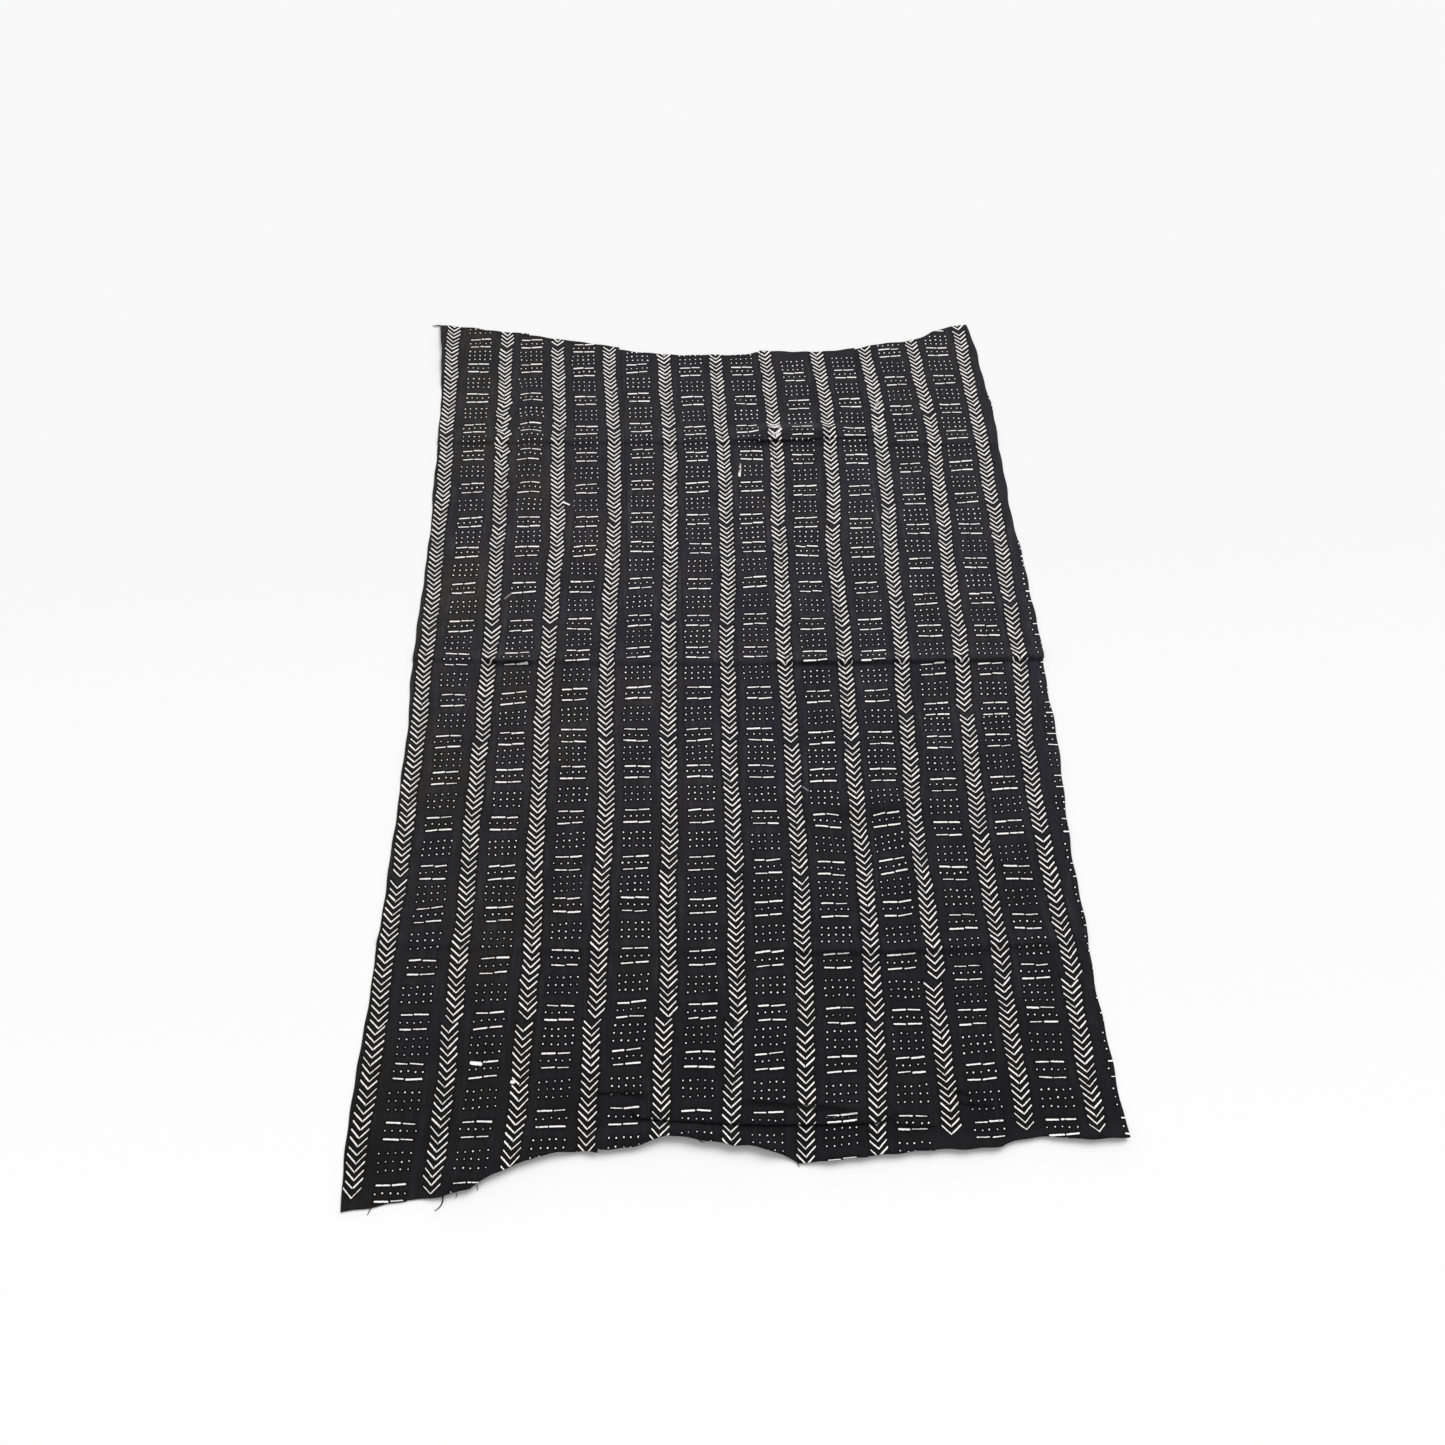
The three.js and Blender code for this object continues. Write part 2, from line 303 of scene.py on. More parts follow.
# The stencil, as it was laid down: eleven columns of chevrons with a column of dots and dashes
# beside each. The stations are places along the cloth, far to near.
stencil = {
    "stations": [750, 500, 250, 0, -250, -500, -750],
    "chevronLines": [
        [-510, -504, -500, -500, -502, -510, -520],
        [-404, -398, -392, -394, -398, -404, -414],
        [-302, -292, -288, -296, -298, -300, -312],
        [-200, -188, -186, -194, -194, -200, -214],
        [-92, -84, -84, -92, -94, -98, -112],
        [10, 18, 18, 8, 6, 2, -16],
        [108, 118, 110, 106, 104, 100, 86],
        [210, 220, 208, 206, 200, 200, 184],
        [310, 318, 310, 302, 290, 288, 282],
        [404, 416, 408, 402, 388, 386, 384],
        [502, 508, 504, 498, 482, 484, 482],
    ],
    "lastLineToBlocks": 53,
    # where one laying of the stencil meets the next
    "chevronJoints": [966, 742, 519, 295, 77, -145, -371, -596, -821],
    "rightChevronJoints": [994, 769, 544, 322, 108, -113, -326, -552, -762],
    "firstRightColumn": 8,
    "rightScale": 0.962,  # the right-hand stencil's marks stand closer along the cloth
    # how much farther up the cloth each column of chevrons was laid
    "chevronShifts": [4, 6, 6, 6, 5, -4, -14, -14, 0, -1, -6],
    "steps": [{"joint": 7, "step": -5.5}],  # layings that missed the last one sideways
    "blockJoints": [
        [508, 284, 60, -164, -386, -612],
        [508, 281, 56, -160, -391, -613],
        [496, 278, 59, -160, -379, -605],
        [502, 283, 61, -160, -383, -604],
        [488, 278, 56, -164, -386, -612],
        [488, 275, 57, -168, -396, -616],
        [476, 263, 42, -178, -401, -625],
        [472, 256, 41, -182, -403, -629],
        [525, 304, 86, -126, -352, -568],
        [525, 303, 83, -127, -353, -569],
        [523, 303, 84, -128, -353, -569],
    ],
    "repeat": 225,
    "farRepeat": 220,
    "farRepeats": {0: 228, 1: 223, 6: 209},  # of single block columns
    # the middles of dots, dashes, dots, dashes, dots and dashes in one repeat
    "groups": [0, 33.5, 73, 112.5, 152, 191.5],
    "bareEnd": {6: 706, 7: 706},  # these block columns stop short of the far end
}

# Where the cloth is gathered, the marks ride up and down with it
pulls = table(
    "x y reachX reachY pitch zero waveAlong shift",
    (-366, 520, 52, 190, 41, 0, True, (3.2, 2.2)),
    (-230, 250, 60, 300, 67, 0, True, (1.2, 0.8)),
    (200, -310, 105, 115, 150, 157, False, (0, 4)),
)
pullFades = (0.35, 1.25)

# Small waves of the hand-drawn lines: how far, and how long across and along the cloth
lineWaves = {
    "sideways": [(0.9, 97, 41), (0.6, 29, 17)],
    "along": [(0.9, 37, 111), (0.7, 83, -53)],
}

# How the numbers of columns, layings and groups go into the two maps
packing = {
    "column": 100,
    "group": 100,
    "groupsInColumn": 64,
    "reach": 49,  # no mark is farther than this from the middle of its group
    "bareShift": 5000,
}


def stencilPlace(x, y):
    # the place on the flat stencil that a point of the cloth took its marks from
    sideways, lengthways = [sum(size * np.sin(x / across + y / along) for size, across, along in rows)
                            for rows in (lineWaves["sideways"], lineWaves["along"])]
    px, py = x + sideways, y + lengthways
    for pull in pulls:
        reach = np.hypot((x - pull["x"]) / pull["reachX"], (y - pull["y"]) / pull["reachY"])
        strength = 1 - smoothstep(reach, *pullFades)
        run = y if pull["waveAlong"] else x
        wave = np.sin(2 * np.pi * (run - pull["zero"]) / pull["pitch"]) * strength
        px = px + pull["shift"][0] * wave
        py = py + pull["shift"][1] * wave
    for shape in allFolds:
        if shape["lean"]:
            py = py - shape["lean"] * foldShare(shape, x, y) ** cloth["leanPeaked"]
        if shape["hidden"]:
            off, fades = foldPlace(shape, x, y)
            py = py - shape["hidden"] * smoothstep(-off, 0, shape["right"]) * fades
    return px, py


def jointCount(joints, along):
    # how many layings of the stencil lie between its first joint and a place, parts included
    return np.interp(-along, -np.asarray(joints, float), np.arange(len(joints)))


def lineAt(values, along):
    # extended straight past the first and last stations
    stations = -np.asarray(stencil["stations"], float)
    past = np.clip(-along, stations[0], stations[-1])
    change = np.where(-along > 0, values[-1] - values[-2], values[1] - values[0])
    slope = change / (stations[1] - stations[0])
    return curveThrough(stations, values, -along) + (-along - past) * slope


def blockGroups(column):
    # the middle of every group of one block column, far to near
    joints = list(stencil["blockJoints"][column])
    farRepeat = stencil["farRepeats"].get(column, stencil["farRepeat"])
    joints = [joints[0] + farRepeat * n for n in (2, 1)] + joints
    joints += [joints[-1] - stencil["repeat"] * n for n in (1, 2)]
    middles = []
    for start, end in zip(joints, joints[1:]):
        scale = (start - end) / stencil["repeat"]
        if column >= stencil["firstRightColumn"]:
            scale = stencil["rightScale"]
        middles += [start - scale * group for group in stencil["groups"]]
    return np.array(middles)


def marksMaps(x, y):
    # For every cell of a strip's face: which chevron and block column it belongs to, and how far its
    # corners are from that column's own line, so that no mark is smeared between two columns.
    px, py = stencilPlace(x, y)
    lines = np.stack([lineAt(values, py) for values in stencil["chevronLines"]])
    blocks = np.concatenate([0.5 * (lines[:-1] + lines[1:]), lines[-1:] + stencil["lastLineToBlocks"]])
    counts = [jointCount(stencil[key], py) for key in ("chevronJoints", "rightChevronJoints")]
    corners = [(0, 0), (0, 1), (1, 1), (1, 0)]
    rows, columns = x.shape

    def corner(grid, di, dj):
        return grid[..., di:rows - 1 + di, dj:columns - 1 + dj]

    def middle(grid):
        return sum(corner(grid, di, dj) for di, dj in corners) / 4

    ownLine = np.abs(middle(px) - middle(lines)).argmin(axis=0)
    ownBlock = np.abs(middle(px) - middle(blocks)).argmin(axis=0)
    cellAlong = middle(py)
    groupMiddle = np.zeros_like(cellAlong)
    groupNumber = np.zeros_like(cellAlong)
    for column in range(len(blocks)):
        here = ownBlock == column
        middles = blockGroups(column)
        nearest = np.abs(cellAlong[here][:, None] - middles).argmin(axis=1)
        groupMiddle[here] = middles[nearest]
        groupNumber[here] = nearest + packing["groupsInColumn"] * (column + 1)
        bare = here & (groupMiddle > stencil["bareEnd"].get(column, math.inf))
        groupMiddle[bare] += packing["bareShift"]
    isRight = ownLine >= stencil["firstRightColumn"]
    shifts = np.array(stencil["chevronShifts"])[ownLine] / stencil["repeat"]
    chevronMap, blockMap = [], []
    for di, dj in corners:
        u = corner(px, di, dj) - np.take_along_axis(corner(lines, di, dj), ownLine[None], 0)[0]
        v = np.where(isRight, corner(counts[1], di, dj), corner(counts[0], di, dj))
        chevronMap.append(np.stack([u, v + shifts + packing["column"] * (ownLine + 1)], axis=-1))
        u = corner(px, di, dj) - np.take_along_axis(corner(blocks, di, dj), ownBlock[None], 0)[0]
        v = np.clip(groupMiddle - corner(py, di, dj), -packing["reach"], packing["reach"])
        blockMap.append(np.stack([u, v + packing["group"] * groupNumber], axis=-1))
    return np.stack(chevronMap, axis=2), np.stack(blockMap, axis=2)


def rowPlaces(index, nearEnd, farEnd):
    # places of the rows along one strip: closer at the folds and at both ends
    guide = 0.5 * (seams[index]["middle"] + seams[index + 1]["middle"])
    creases = [foldAlong(folds[name], guide) for name in
               ("nearCrease", "slackSwell", "middleCrease", "farCrease")]
    lips = [foldAlong(folds[name], guide) for name in ("hemTuck", "farTuck")]
    fine = np.arange(nearEnd, farEnd, cloth["rowStep"])
    closest = np.abs(fine[:, None] - np.array(creases + lips + [nearEnd, farEnd])).min(axis=1)
    cell = np.where(closest < cloth["foldZone"], cloth["cellAtFold"], cloth["cellAlong"])
    closest = np.abs(fine[:, None] - np.array(lips)).min(axis=1)
    cell = np.where(closest < cloth["lipZone"], cloth["cellAtLip"], cell)
    count = np.cumsum(cloth["rowStep"] / cell)
    steps = int(round(count[-1]))
    return np.interp(np.linspace(0, count[-1], steps + 1), np.r_[0, count[:-1]], fine)


def acrossPlaces(width):
    # shares of a strip's width: two narrow cells at each selvedge round it off
    edge = np.array(cloth["selvedgeCells"]) / width
    cells = int(round((width - 2 * cloth["selvedgeCells"][-1]) / cloth["cellAcross"]))
    inner = np.linspace(edge[-1], 1 - edge[-1], cells + 1)
    return np.concatenate([edge[:2], inner, 1 - edge[:2][::-1]])


def waver(waves, at):
    return sum(size * np.sin(at / run + start) for size, run, start in waves)


def stripGrid(index):
    # places on the floor of one strip's rows and columns
    strip = strips[index]
    places = rowPlaces(index, strip["near"][1], strip["far"][1])
    shares = acrossPlaces(seams[index + 1]["middle"] - seams[index]["middle"])
    at = 2 * shares - 1
    nearShift = parabola(*strip["near"], at) - strip["near"][1]
    farShift = parabola(*strip["far"], at) - strip["far"][1]
    nearFade = 1 - smoothstep(places - places[0], 0, cloth["endFade"])
    farFade = 1 - smoothstep(places[-1] - places, 0, cloth["endFade"])
    y = places[:, None] + nearFade[:, None] * nearShift + farFade[:, None] * farShift
    left = seamAt(index, y) + (cloth["seamGap"] / 2 if index else 0)
    right = seamAt(index + 1, y) - (cloth["seamGap"] / 2 if index < len(strips) - 1 else 0)
    if index == 0:
        left = left + waver(cloth["leftWaves"], y)
    if index == len(strips) - 1:
        right = right + waver(cloth["rightWaves"], y)
    x = left + shares * (right - left)
    reach = cloth["endWaveReach"]
    atEnds = np.exp(-(places - places[0]) / reach) + np.exp(-(places[-1] - places) / reach)
    return x, y + waver(cloth["endWaves"], x) * atEnds[:, None], shares


def surfaceNormals(points):
    along = np.gradient(points, axis=0)
    across = np.gradient(points, axis=1)
    normals = np.cross(across, along)
    return normals / np.linalg.norm(normals, axis=-1, keepdims=True)


def sheetThickness(x, y, shares):
    # thinner at the selvedges, rolled and thicker at the ends, rounded at the rim
    width = x[:, -1:] - x[:, :1]
    fromSide = np.minimum(shares, 1 - shares) * width
    thinner = (cloth["thickness"] - cloth["seamThickness"]) * np.exp(-fromSide / cloth["selvedgeReach"])
    thick = cloth["thickness"] - thinner
    fromEnd = np.minimum(y - y[:1], y[-1:] - y)
    hem = smoothstep(cloth["hemWidth"] - fromEnd, 0, cloth["hemRound"])
    thick = thick + (cloth["hemThickness"] - cloth["thickness"]) * hem
    rim = np.minimum(fromSide, fromEnd)
    rounding = (1 - cloth["edgeThickness"] / cloth["thickness"]) * np.exp(-(rim / cloth["rimReach"]) ** 2)
    return thick * (1 - rounding)


def tuckShadeShare(x, y):
    # painted shade: 1 where the cloth lies under the lip of a tuck or right in front of it
    share = np.zeros_like(x)
    for shape in allFolds:
        if shape["lean"] >= cloth["tuckLean"]:
            off, fades = foldPlace(shape, x, y)
            front = shape["lean"] + 0.5 * cloth["thickness"]
            ends = [front + margin for margin in cloth["shadeEnds"]]
            under = smoothstep(-off, *cloth["shadeStarts"]) * (1 - smoothstep(-off, *ends))
            share = np.maximum(share, under * fades)
    return share


def placed(name, data):
    made = bpy.data.objects.new(name, data)
    bpy.context.scene.collection.objects.link(made)
    return made


def meshObject(name, vertices, faces, maps, material):
    mesh = bpy.data.meshes.new(name)
    mesh.from_pydata(vertices, [], faces)
    for mapName, values in maps.items():
        layer = mesh.uv_layers.new(name=mapName)
        layer.data.foreach_set("uv", np.asarray(values, np.float32).ravel())
    mesh.polygons.foreach_set("use_smooth", np.ones(len(faces), bool))
    mesh.materials.append(material)
    mesh.update()
    return placed(name, mesh)


def clothStrip(index, material):
    # one strip as a closed sheet: its face, its underside and the rim that joins them
    x, y, shares = stripGrid(index)
    rows, columns = x.shape
    middle = clothPoint(x, y)
    normals = surfaceNormals(middle)
    half = 0.5 * sheetThickness(x, y, shares)[..., None]
    face, under = middle + normals * half, middle - normals * half
    face[..., 2] += np.maximum(0, -under[..., 2])  # nothing reaches below the floor
    under[..., 2] = np.maximum(under[..., 2], 0)
    vertices = np.concatenate([face.reshape(-1, 3), under.reshape(-1, 3)]) * mm
    number = np.arange(rows * columns).reshape(rows, columns)
    low = number + rows * columns

    quads = [number[:-1, :-1], number[:-1, 1:], number[1:, 1:], number[1:, :-1]]
    faceQuads = np.stack(quads, axis=-1).reshape(-1, 4)
    underQuads = (faceQuads + rows * columns)[:, ::-1]
    leftRim = np.stack([low[:-1, 0], number[:-1, 0], number[1:, 0], low[1:, 0]], axis=-1)
    rightRim = np.stack([number[:-1, -1], low[:-1, -1], low[1:, -1], number[1:, -1]], axis=-1)
    nearRim = np.stack([low[0, :-1], low[0, 1:], number[0, 1:], number[0, :-1]], axis=-1)
    farRim = np.stack([number[-1, :-1], number[-1, 1:], low[-1, 1:], low[-1, :-1]], axis=-1)
    rims = [leftRim, rightRim, nearRim, farRim]
    faces = np.concatenate([faceQuads, underQuads, *rims])

    chevronMap, blockMap = marksMaps(x, y)
    flatX = np.concatenate([x.ravel(), x.ravel()])
    flatY = np.concatenate([y.ravel(), y.ravel()])
    threadMap = np.stack([flatX + cloth["threadShift"] * index, flatY], axis=-1)[faces]
    bare = np.full((len(faces) - len(faceQuads), 4, 2), float(packing["reach"]))
    maps = {
        "OFBake": bakeMap(x, y, shares, faces, len(faceQuads)),
        "chevrons": np.concatenate([chevronMap.reshape(-1, 4, 2), bare]),
        "blocks": np.concatenate([blockMap.reshape(-1, 4, 2), bare]),
        "threads": threadMap,
    }
    name = "cloth_" + strips[index]["name"]
    made = meshObject(name, vertices.tolist(), faces.tolist(), maps, material)
    # where the painted shade of the tucks falls, for the cloth's material
    tuckShade = made.data.attributes.new("tuckShade", "FLOAT", "POINT")
    tuckShade.data.foreach_set("value", np.tile(tuckShadeShare(x, y).ravel(), 2).astype(np.float32))
    return made


bakeLayout = {
    "lengths": 4,
    "pitch": 0.2,  # of the lengths across the map
    "margin": 0.004,
    "underFrom": 0.82,
    "underWidth": 0.16,
    "underMargin": 0.01,
    "rimShift": 0.012,
}


def bakeMap(x, y, shares, faces, faceCount):
    # The face is laid out as four lengths side by side, so a long strip fills a square map. The
    # underside and the rim share the last fifth.
    rows, columns = x.shape
    lengths, margin = bakeLayout["lengths"], bakeLayout["margin"]
    part = np.minimum(np.arange(rows - 1) * lengths // (rows - 1), lengths - 1)
    starts = [int(np.argmax(part == n)) for n in range(lengths)] + [rows - 1]
    along = (y[:, columns // 2] - y[0, columns // 2]) / (y[-1, columns // 2] - y[0, columns // 2])
    uv = np.zeros((len(faces), 4, 2))
    row = np.repeat(np.arange(rows - 1), columns - 1)
    column = np.tile(np.arange(columns - 1), rows - 1)
    for k, (di, dj) in enumerate([(0, 0), (0, 1), (1, 1), (1, 0)]):
        first = np.array(starts)[part[row]]
        last = np.array(starts)[part[row] + 1]
        share = (along[row + di] - along[first]) / (along[last] - along[first])
        wide = (bakeLayout["pitch"] - 2 * margin) * shares[column + dj]
        uv[:faceCount, k, 0] = bakeLayout["pitch"] * part[row] + margin + wide
        uv[:faceCount, k, 1] = margin + (1 - 2 * margin) * share
    rest = faces[faceCount:] % (rows * columns)
    restRow, restColumn = rest // columns, rest % columns
    onFace = faces[faceCount:] < rows * columns
    outwards = np.where(shares[restColumn] < 0.5, -bakeLayout["rimShift"], bakeLayout["rimShift"])
    uv[faceCount:, :, 0] = bakeLayout["underFrom"] + bakeLayout["underWidth"] * shares[restColumn]
    uv[faceCount:, :, 0] += np.where(onFace, outwards, 0)
    uv[faceCount:, :, 1] = bakeLayout["underMargin"] + (1 - 2 * bakeLayout["underMargin"]) * along[restRow]
    return uv


def toLinear(hexColour):
    channels = [int(hexColour[i:i + 2], 16) / 255 for i in (1, 3, 5)]
    return [c / 12.92 if c <= 0.04045 else ((c + 0.055) / 1.055) ** 2.4 for c in channels] + [1.0]


signs = {"+": "ADD", "-": "SUBTRACT", "*": "MULTIPLY", "/": "DIVIDE", "*+": "MULTIPLY_ADD"}


def add(tree, kind, *inputs, named=None, out=0, **settings):
    # Adds one node. A sign or a word in capitals is an operation of a Math node, and a dot gives the
    # operation of another kind. Inputs are numbers, colours or sockets.
    kind, _, operation = signs.get(kind, kind).partition(".")
    if kind.isupper():
        kind, operation = "Math", kind
    made = tree.nodes.new("ShaderNode" + kind)
    if operation:
        made.operation = operation
    for key, value in settings.items():
        setattr(made, key, value)
    wanted = [(made.inputs[i], value) for i, value in enumerate(inputs)]
    wanted += [(made.inputs[key], value) for key, value in (named or {}).items()]
    for socket, value in wanted:
        if isinstance(value, bpy.types.NodeSocket):
            tree.links.new(value, socket)
        elif value is not None:
            socket.default_value = value
    return made.outputs[out] if len(made.outputs) else None


# Strip-woven cotton, dyed with leaves and river mud: matt, nearly black, a little brown on one side
# and blue on the other, blotched where the mud lay, with hard-edged cream marks left in it.
dyedCotton = {
    "blueBlack": "#19181F",
    "brownBlack": "#1F1D1C",
    "deepBlack": "#0D0D11",
    "nearPaintedSheen": 0.54,  # painted sheen: the cloth is painted darkest at the near end, where the view is steep, this much of its lightness
    # painted sheen in the middle and at the far end, where the view is more slanting
    "middlePaintedSheen": 1.66,
    "farPaintedSheen": 1.14,
    "paintedTuckShade": 0.12,  # painted shade under a tuck's lip and right in front of it keeps this much of the colour
    "besideMarks": 0.04,  # the dye lies thick beside the marks
    "besideReach": (0.4, 5.0),
    "worn": "#36363B",
    "cream": "#F7F6F3",
    "creamAged": "#ECE5E3",
    "roughness": 0.94,
    "warpPitch": 1.25,  # thread spacing across a strip
    "weftPitch": 1.55,  # thread spacing along it
    "threadRelief": 0.28,
    "unevenRelief": 0.6,  # of thick and thin threads, beside the weave's
    "threadTone": (0.9, 0.1),
    "crumpleHeight": 1.1,
    "unevenThreads": [(0.9, 0.03, 0), (0.03, 0.9, 7)],  # noise per warp and weft thread, and its seed
    "rubbedRuns": (0.09, 0.012),
}

# Of two numbers, the hand-laid marks have any value between them
marks = {
    "armRise": 0.99,  # how steeply an arm climbs
    "armStart": (-0.1, 1.5),
    "armEnd": (10.2, 12.6),
    "armHalfWidth": (0.69, 1.24),
    "armStray": 1.0,
    "armMiddle": 7,  # an arm turns about this place on it
    "armTilt": 0.13,
    "chevronPitch": 10.55,
    "chevronsInRepeat": 21,
    "dotPitchAcross": 10.2,
    "dotPitchAlong": 10.8,
    "dotsToSide": 2,  # on either side of a group's middle dot
    "dotsToEnd": 1,
    "dotStray": (2.0, 1.8),
    "dotRadius": (0.73, 1.13),
    "groupFullness": 0.3,  # the dots of some groups are this much larger
    "groupTilt": 0.07,
    "groupSlip": 2.4,
    "dashRow": 10.25,  # from the middle of a pair
    "dashStray": 1.6,
    "dashEnd": (18.0, 19.8),
    "dashMiddle": 11,  # a dash turns about this place on it
    "dashTilt": 0.13,
    "dashGap": (1.7, 2.6),  # half of the space between the two dashes of a row
    "dashGapShift": 6.0,  # how much that space wanders,
    "dashGapMiddle": 0.62,  # a little more to the left
    "dashHalfWidth": (0.69, 1.39),
    "slip": 2.4,  # how far one laying of the stencil may miss its line
    "slipAlong": 5.28,
    "slipAlongMiddle": 0.62,
    "layingTurn": 4,  # and how far it may be turned
    "stepReach": 2.2,
    "bare": 50,  # a distance at which there is no mark
    "nearThinning": 0.3,  # the marks are this much thinner at the near end
    "farSpread": 0.05,  # and this much fuller at the far end
    "ragged": 1.2,
    "threadFullness": 0.25,  # the paste holds best on the crowns of the threads
    "edge": (0.22, -0.28),
}

# Seeds of the numbers that each laying, chevron, group, dot and row of dashes has
seeds = {"laying": 3.5, "chevrons": 40, "group": (1.5, 2.5), "dotRow": 5, "dot": 0.5, "dashRow": 4.5}


def lucks(put, place):
    # three seeded numbers from 0 to 1
    luck = put("TexWhiteNoise", place, out=1)
    return [put("SeparateColor", luck, out=i) for i in range(3)]


def strayed(put, value, luck, reach, middle=0.5):
    # moved by luck, within half of the reach to either side
    return put("*+", put("-", luck, middle), reach, value)


def turned(put, value, place, luck, tilt):
    # tilted by luck, more where the place is farther from 0
    return put("*+", put("*", place, put("-", luck, 0.5)), tilt, value)


def within(put, luck, least, most):
    # by luck, any value between the two
    return put("*+", luck, most - least, least)


def limited(put, value, least, most):
    return put("MINIMUM", put("MAXIMUM", value, least), most)


def faded(put, gap, edge, there, off=0):
    # from one value to the other, softly over an edge
    return put("MapRange", gap, *edge, off, there, interpolation_type="SMOOTHSTEP")


def distance(put, dx, dy):
    return put("VectorMath.LENGTH", put("CombineXYZ", dx, dy, 0), out=1)


def chevronMarks(put):
    # distance to the nearest arm of a chevron, in millimetres
    u, v = [put("SeparateXYZ", put("UVMap", uv_map="chevrons"), out=i) for i in (0, 1)]
    column = put("FLOOR", put("/", v, packing["column"]))
    laid = put("-", v, put("*", column, packing["column"]))
    run = put("*", laid, stencil["repeat"])
    slanted = put("*+", put("ABSOLUTE", u), marks["armRise"], run)
    repeat = put("FLOOR", put("/", slanted, stencil["repeat"]))
    luckX, luckY, luckTurn = lucks(put, put("CombineXYZ", repeat, column, seeds["laying"]))
    intoRepeat = put("-", put("/", run, stencil["repeat"]), repeat)
    turn = put("*", put("-", intoRepeat, 0.5), put("-", luckTurn, 0.5))
    slip = strayed(put, put("*", turn, marks["layingTurn"]), luckX, marks["slip"])
    for row in stencil["steps"]:
        past = put("-", put("/", slanted, stencil["repeat"]), row["joint"])
        near = put("*+", put("ABSOLUTE", past), -marks["stepReach"], 1)
        side = put("*", put("SIGN", past), put("POWER", put("MAXIMUM", near, 0), 2))
        slip = put("*+", side, -0.5 * row["step"], slip)
    p = put("+", u, slip)
    reach = put("ABSOLUTE", p)
    start = put("*", repeat, stencil["repeat"])
    local = put("-", put("*+", reach, marks["armRise"], run), start)
    local = strayed(put, local, luckY, marks["slipAlong"], marks["slipAlongMiddle"])
    number = put("FLOOR", put("/", local, marks["chevronPitch"]))
    number = limited(put, number, 0, marks["chevronsInRepeat"] - 1)
    middle = put("*", put("+", number, 0.5), marks["chevronPitch"])
    off = put("-", local, middle)
    place = put("*+", repeat, seeds["chevrons"], number)
    place = put("CombineXYZ", place, column, put("SIGN", p))
    handShift, handTilt, handEnd = lucks(put, place)
    handWidth = put("TexWhiteNoise", place, out=0)
    cosine = math.cos(math.atan(marks["armRise"]))
    away = strayed(put, put("*", off, cosine), handShift, marks["armStray"])
    away = turned(put, away, put("-", reach, marks["armMiddle"]), handTilt, marks["armTilt"])
    pastEnd = put("-", reach, within(put, handEnd, *marks["armEnd"]))
    pastStart = put("-", within(put, handShift, *marks["armStart"]), reach)
    past = put("MAXIMUM", put("MAXIMUM", pastEnd, pastStart), 0)
    gap = put("-", distance(put, away, past), within(put, handWidth, *marks["armHalfWidth"]))
    lastLaying = len(stencil["chevronJoints"]) - 1.5
    unlaid = put("*", put("GREATER_THAN", repeat, lastLaying), marks["bare"])
    return put("+", gap, unlaid)


def blockMarks(put):
    # distance to the nearest dot or dash, in millimetres
    u, v = [put("SeparateXYZ", put("UVMap", uv_map="blocks"), out=i) for i in (0, 1)]
    group = put("FLOOR", put("+", put("/", v, packing["group"]), 0.5))
    w = put("-", v, put("*", group, packing["group"]))
    isPair = put("MODULO", group, 2)
    luckTilt, luckShift, luckSize = lucks(put, put("CombineXYZ", group, *seeds["group"]))
    w = turned(put, w, u, luckTilt, marks["groupTilt"])
    u = strayed(put, u, luckShift, marks["groupSlip"])

    across = put("ROUND", put("/", u, marks["dotPitchAcross"]))
    across = limited(put, across, -marks["dotsToSide"], marks["dotsToSide"])
    along = put("ROUND", put("/", w, marks["dotPitchAlong"]))
    along = limited(put, along, -marks["dotsToEnd"], marks["dotsToEnd"])
    along = put("*", along, put("-", 1, isPair))
    place = put("CombineXYZ", put("*+", along, seeds["dotRow"], across), group, seeds["dot"])
    handX, handY, handSize = lucks(put, place)
    dx = put("-", u, put("*", across, marks["dotPitchAcross"]))
    dx = strayed(put, dx, handX, marks["dotStray"][0])
    dy = put("-", w, put("*", along, marks["dotPitchAlong"]))
    dy = strayed(put, dy, handY, marks["dotStray"][1])
    radius = within(put, handSize, *marks["dotRadius"])
    radius = put("*+", luckSize, marks["groupFullness"], radius)
    dotGap = put("-", distance(put, dx, dy), radius)

    rowLuck = put("TexWhiteNoise", put("CombineXYZ", put("SIGN", w), group, seeds["dashRow"]), out=0)
    gapPlace = put("*", put("-", rowLuck, marks["dashGapMiddle"]), marks["dashGapShift"])
    fromGap = put("-", u, gapPlace)
    dash = put("CombineXYZ", put("SIGN", w), put("SIGN", fromGap), group)
    handEnd, handTilt, handRow = lucks(put, dash)
    handWidth = put("TexWhiteNoise", dash, out=0)
    pastEnd = put("-", put("ABSOLUTE", u), within(put, handEnd, *marks["dashEnd"]))
    pastGap = put("-", within(put, handRow, *marks["dashGap"]), put("ABSOLUTE", fromGap))
    du = put("MAXIMUM", put("MAXIMUM", pastEnd, pastGap), 0)
    dw = put("-", put("ABSOLUTE", w), marks["dashRow"])
    dw = strayed(put, dw, handRow, marks["dashStray"])
    fromMiddle = put("-", put("ABSOLUTE", u), marks["dashMiddle"])
    dw = turned(put, dw, fromMiddle, handTilt, marks["dashTilt"])
    dashGap = put("-", distance(put, du, dw), within(put, handWidth, *marks["dashHalfWidth"]))
    dashGap = put("*+", put("-", 1, isPair), marks["bare"], dashGap)
    return put("MINIMUM", dotGap, dashGap)


